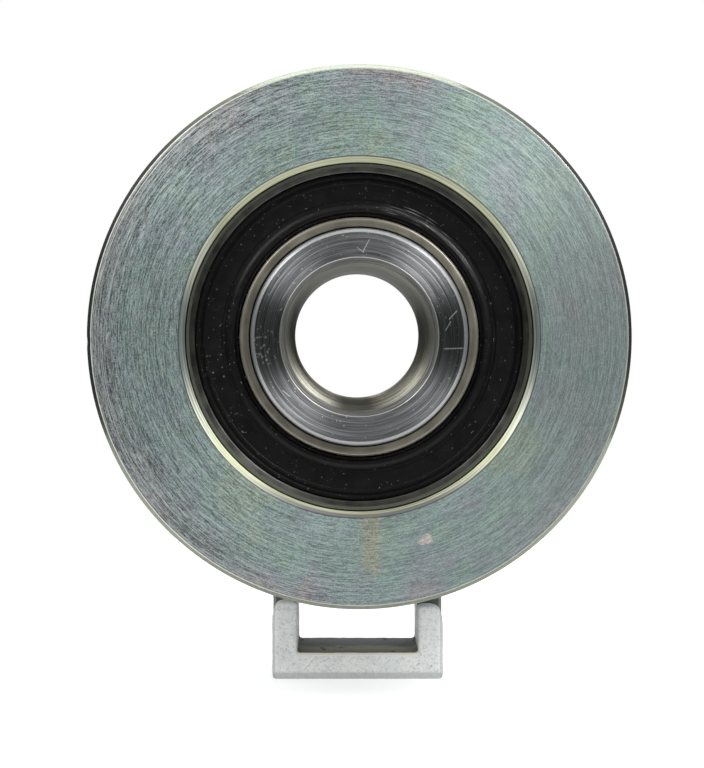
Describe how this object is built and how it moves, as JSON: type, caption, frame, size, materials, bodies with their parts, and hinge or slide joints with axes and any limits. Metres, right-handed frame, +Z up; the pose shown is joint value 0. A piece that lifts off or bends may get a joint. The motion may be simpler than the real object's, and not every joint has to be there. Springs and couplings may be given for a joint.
{
  "type": "track roller",
  "caption": "Thick-rimmed plated steel roller on a sealed ball bearing and flanged sleeve, with a cast bracket behind it that ends in a rectangular eye.",
  "frame": {"origin": "on the roller's axis, half-way through the width of the tyre", "axes": "+Y along the roller's axis from the open front to the bracket, +Z up, the bracket's eye hangs towards -Z"},
  "size_m": [0.09, 0.04, 0.109],
  "materials": {
    "plated_steel": "turned face, zinc plated with a blue-green iridescent passivation",
    "ring_steel": "ground bearing steel under an oil film",
    "oiled_ring_steel": "ground bearing steel, warm grey under oil",
    "seal_rubber": "moulded nitrile rubber, satin black",
    "sheet_steel": "pressed sheet steel",
    "ball_steel": "polished bearing steel",
    "turned_steel": "bright steel with fine turning marks",
    "spring_steel": "phosphated spring steel",
    "cast_aluminium": "fine-grained casting, lightly blasted"
  },
  "bodies": {
    "hub": {"sleeve": "turned_steel", "bearing_inner_ring": "oiled_ring_steel", "rear_spacer": "turned_steel", "sleeve_circlip": "spring_steel", "bracket": "cast_aluminium"},
    "roller": {"tyre": "plated_steel", "bearing_outer_ring": "ring_steel", "seal_front": "seal_rubber", "seal_rear": "seal_rubber", "seal_insert_front": "sheet_steel", "seal_insert_rear": "sheet_steel", "tyre_circlip": "spring_steel"},
    "cage": {"cage_front": "sheet_steel", "cage_rear": "sheet_steel", "cage_rivets": "sheet_steel"},
    "ball_1": {"ball_1": "ball_steel"},
    "ball_2": {"ball_2": "ball_steel"},
    "ball_3": {"ball_3": "ball_steel"},
    "ball_4": {"ball_4": "ball_steel"},
    "ball_5": {"ball_5": "ball_steel"},
    "ball_6": {"ball_6": "ball_steel"},
    "ball_7": {"ball_7": "ball_steel"},
    "ball_8": {"ball_8": "ball_steel"},
    "ball_9": {"ball_9": "ball_steel"}
  },
  "joints": [
    {"name": "roller_spin", "type": "hinge", "parent": "hub", "child": "roller", "pos_m": [0, 0, 0], "axis": [0, 1, 0], "continuous": true},
    {"name": "cage_orbit", "type": "hinge", "parent": "hub", "child": "cage", "pos_m": [0, 0, 0], "axis": [0, 1, 0], "continuous": true},
    {"name": "ball_1_spin", "type": "hinge", "parent": "cage", "child": "ball_1", "pos_m": [0, 0, 0.023], "axis": [0, 1, 0], "continuous": true},
    {"name": "ball_2_spin", "type": "hinge", "parent": "cage", "child": "ball_2", "pos_m": [-0.01478, 0, 0.01762], "axis": [0, 1, 0], "continuous": true},
    {"name": "ball_3_spin", "type": "hinge", "parent": "cage", "child": "ball_3", "pos_m": [-0.02265, 0, 0.00399], "axis": [0, 1, 0], "continuous": true},
    {"name": "ball_4_spin", "type": "hinge", "parent": "cage", "child": "ball_4", "pos_m": [-0.01992, 0, -0.0115], "axis": [0, 1, 0], "continuous": true},
    {"name": "ball_5_spin", "type": "hinge", "parent": "cage", "child": "ball_5", "pos_m": [-0.00787, 0, -0.02161], "axis": [0, 1, 0], "continuous": true},
    {"name": "ball_6_spin", "type": "hinge", "parent": "cage", "child": "ball_6", "pos_m": [0.00787, 0, -0.02161], "axis": [0, 1, 0], "continuous": true},
    {"name": "ball_7_spin", "type": "hinge", "parent": "cage", "child": "ball_7", "pos_m": [0.01992, 0, -0.0115], "axis": [0, 1, 0], "continuous": true},
    {"name": "ball_8_spin", "type": "hinge", "parent": "cage", "child": "ball_8", "pos_m": [0.02265, 0, 0.00399], "axis": [0, 1, 0], "continuous": true},
    {"name": "ball_9_spin", "type": "hinge", "parent": "cage", "child": "ball_9", "pos_m": [0.01478, 0, 0.01762], "axis": [0, 1, 0], "continuous": true}
  ],
  "couplings": [
    {"joint": "cage_orbit", "follows": "roller_spin", "ratio": 0.60353},
    {"joint": "ball_1_spin", "follows": "roller_spin", "ratio": 2.3112},
    {"joint": "ball_2_spin", "follows": "roller_spin", "ratio": 2.3112},
    {"joint": "ball_3_spin", "follows": "roller_spin", "ratio": 2.3112},
    {"joint": "ball_4_spin", "follows": "roller_spin", "ratio": 2.3112},
    {"joint": "ball_5_spin", "follows": "roller_spin", "ratio": 2.3112},
    {"joint": "ball_6_spin", "follows": "roller_spin", "ratio": 2.3112},
    {"joint": "ball_7_spin", "follows": "roller_spin", "ratio": 2.3112},
    {"joint": "ball_8_spin", "follows": "roller_spin", "ratio": 2.3112},
    {"joint": "ball_9_spin", "follows": "roller_spin", "ratio": 2.3112}
  ]
}
